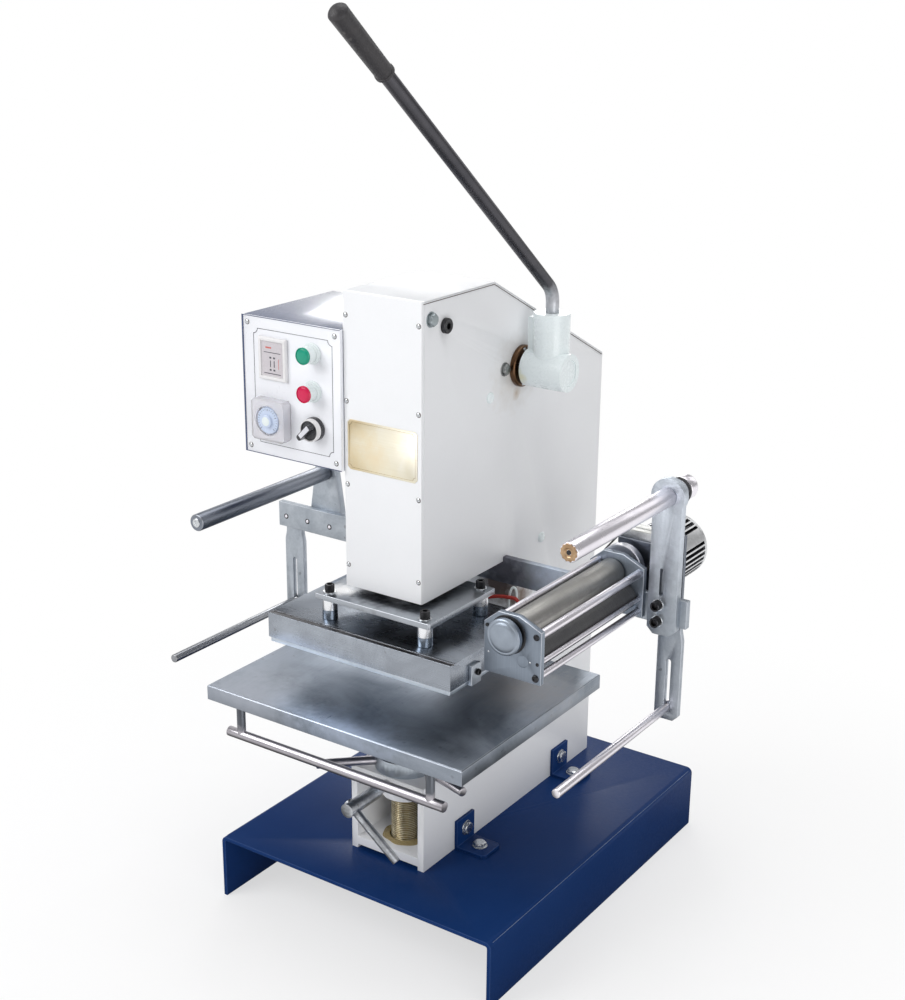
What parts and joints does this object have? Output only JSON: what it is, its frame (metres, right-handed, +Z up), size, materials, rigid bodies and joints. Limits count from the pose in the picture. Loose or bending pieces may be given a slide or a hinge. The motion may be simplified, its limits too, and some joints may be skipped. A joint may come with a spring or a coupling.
{
  "type": "manual foil stamping press",
  "caption": "Hand-lever hot-foil stamping press with heated plate, screw-height table, control box and motor-driven foil feed on a cross bar.",
  "frame": {"origin": "on the floor under the middle of the whole: midway between the cross bar's ends and midway between the lever's tip and the base's back edge", "axes": "+Z up, +X to the right of the operator, who stands on the -Y side; +Y towards the back of the column"},
  "size_m": [0.698, 0.7182, 1.2605],
  "materials": {
    "white_enamel": "satin enamel, slightly grey",
    "navy_enamel": "glossy navy enamel",
    "grey_arm": "matt light grey, lightly worn",
    "ground_steel": "ground bright",
    "dark_steel": "blued, oily",
    "milled_table": "milled, mottled, dark",
    "bolt_zinc": "bright zinc",
    "black_screw": "black oxide",
    "chrome_rod": "polished",
    "brass_thread": "greasy, dark in the roots",
    "gold_plate": "bare satin gold",
    "motor_alloy": "cast and ribbed",
    "turned_alloy": "turned bright",
    "heat_alloy": "milled, heat-darkened",
    "hub_enamel": "pale enamel",
    "black_grip": "moulded",
    "roller_rubber": "ground, dark grey",
    "belt_rubber": "matt",
    "panel_white": "satin white",
    "timer_plastic": "pale grey",
    "white_plastic": "gloss",
    "green_lens": "domed, translucent",
    "red_lens": "domed, translucent",
    "clear_plastic": "clear moulded plastic",
    "black_plastic": "gloss"
  },
  "bodies": {
    "press_frame": {"arm_screws": "black_screw", "base_channel": "navy_enamel", "control_box": "navy_enamel", "control_panel": "panel_white", "cross_bar": "grey_arm", "drive_belt": "belt_rubber", "feed_motor": "motor_alloy", "feed_plates": "ground_steel", "feed_tie_rods": "chrome_rod", "foot_brackets": "navy_enamel", "frame_bolts": "bolt_zinc", "frame_weldment": "white_enamel", "front_cover": "white_enamel", "green_lens": "green_lens", "lamp_bezels": "white_plastic", "left_arm": "grey_arm", "left_drop_arm": "grey_arm", "motor_bracket": "dark_steel", "nameplate": "gold_plate", "red_lens": "red_lens", "return_spring": "dark_steel", "right_arm": "grey_arm", "right_drop_arm": "grey_arm", "selector_base": "turned_alloy", "shaft_bushes": "dark_steel", "thermostat_hood": "clear_plastic", "timer": "timer_plastic", "top_cover": "white_enamel", "top_pin": "black_screw"},
    "handle": {"lever_hub": "hub_enamel", "lever_rod": "dark_steel", "lever_grip": "black_grip", "crankshaft": "ground_steel"},
    "toggle_upper": {"upper_link": "dark_steel"},
    "toggle_lower": {"lower_link": "dark_steel"},
    "toggle_drive": {"connecting_link": "dark_steel"},
    "press_head": {"ram": "chrome_rod", "ram_plate": "ground_steel", "standoffs": "chrome_rod", "ram_screws": "black_screw", "heat_block": "heat_alloy", "die_plate": "heat_alloy", "die_latch": "ground_steel"},
    "table": {"work_table": "milled_table", "height_screw": "brass_thread", "front_rail": "chrome_rod"},
    "capstan": {"capstan_nut": "dark_steel", "capstan_bars": "chrome_rod"},
    "table_lock": {"lock_screw": "ground_steel"},
    "feed_drive": {"drive_roller": "ground_steel", "feed_knob": "turned_alloy", "drive_pulley": "turned_alloy"},
    "feed_nip": {"nip_roller": "roller_rubber"},
    "rewind": {"rewind_shaft": "chrome_rod", "rewind_pulley": "turned_alloy"},
    "unwind": {"unwind_shaft": "dark_steel"},
    "guide_left": {"left_guide_rod": "dark_steel"},
    "guide_right": {"right_guide_rod": "chrome_rod"},
    "selector": {"selector_knob": "black_plastic"},
    "thermostat": {"thermostat_dial": "white_plastic"}
  },
  "joints": [
    {"name": "lever_turn", "type": "hinge", "parent": "press_frame", "child": "handle", "pos_m": [0, 0.09413, 0.779], "axis": [1, 0, 0], "range_deg": [0, 70], "stiffness_Nm_per_rad": 12, "springref_deg": -103.13},
    {"name": "upper_link_turn", "type": "hinge", "parent": "press_frame", "child": "toggle_upper", "pos_m": [0, -0.08787, 0.867], "axis": [1, 0, 0], "range_deg": [-15.6, 0]},
    {"name": "drive_link_turn", "type": "hinge", "parent": "toggle_upper", "child": "toggle_drive", "pos_m": [0, -0.00894, 0.756], "axis": [1, 0, 0], "range_deg": [0, 14.8]},
    {"name": "lower_link_turn", "type": "hinge", "parent": "toggle_upper", "child": "toggle_lower", "pos_m": [0, -0.00894, 0.756], "axis": [1, 0, 0], "range_deg": [0, 31]},
    {"name": "ram_slide", "type": "slide", "parent": "press_frame", "child": "press_head", "axis": [0, 0, -1], "range_m": [0, 0.0342], "deforming": ["return_spring"]},
    {"name": "capstan_turn", "type": "hinge", "parent": "press_frame", "child": "capstan", "pos_m": [0, -0.08787, 0.239], "axis": [0, 0, 1], "range_deg": [-840, 3600]},
    {"name": "table_lift", "type": "slide", "parent": "press_frame", "child": "table", "axis": [0, 0, 1], "range_m": [-0.0601, 0.0141]},
    {"name": "lock_turn", "type": "hinge", "parent": "press_frame", "child": "table_lock", "pos_m": [0, -0.20987, 0.2165], "axis": [0, 1, 0], "range_deg": [-30, 20]},
    {"name": "drive_roller_turn", "type": "hinge", "parent": "press_frame", "child": "feed_drive", "pos_m": [0.241, -0.08787, 0.532], "axis": [0, 1, 0], "continuous": true},
    {"name": "nip_roller_turn", "type": "hinge", "parent": "press_frame", "child": "feed_nip", "pos_m": [0.262, -0.08787, 0.502], "axis": [0, 1, 0], "continuous": true},
    {"name": "rewind_turn", "type": "hinge", "parent": "press_frame", "child": "rewind", "pos_m": [0.3185, -0.08787, 0.6535], "axis": [0, 1, 0], "continuous": true},
    {"name": "unwind_turn", "type": "hinge", "parent": "press_frame", "child": "unwind", "pos_m": [-0.264, -0.08787, 0.57], "axis": [0, 1, 0], "continuous": true},
    {"name": "left_guide_slide", "type": "slide", "parent": "press_frame", "child": "guide_left", "axis": [0, 0, 1], "range_m": [0, 0.06]},
    {"name": "right_guide_slide", "type": "slide", "parent": "press_frame", "child": "guide_right", "axis": [0, 0, 1], "range_m": [0, 0.06]},
    {"name": "selector_turn", "type": "hinge", "parent": "press_frame", "child": "selector", "pos_m": [-0.106, -0.15287, 0.716], "axis": [0, 1, 0], "range_deg": [0, 90]},
    {"name": "thermostat_turn", "type": "hinge", "parent": "press_frame", "child": "thermostat", "pos_m": [-0.176, -0.15087, 0.718], "axis": [0, 1, 0], "range_deg": [0, 270]}
  ],
  "couplings": [
    {"joint": "upper_link_turn", "follows": "lever_turn", "ratio": -0.2203},
    {"joint": "drive_link_turn", "follows": "lever_turn", "ratio": 0.2092},
    {"joint": "lower_link_turn", "follows": "lever_turn", "ratio": 0.4406},
    {"joint": "ram_slide", "follows": "lever_turn", "m_per_rad": 0.02783},
    {"joint": "table_lift", "follows": "capstan_turn", "m_per_rad": -0.00095493},
    {"joint": "nip_roller_turn", "follows": "drive_roller_turn", "ratio": -1.0983},
    {"joint": "rewind_turn", "follows": "drive_roller_turn", "ratio": 2}
  ]
}
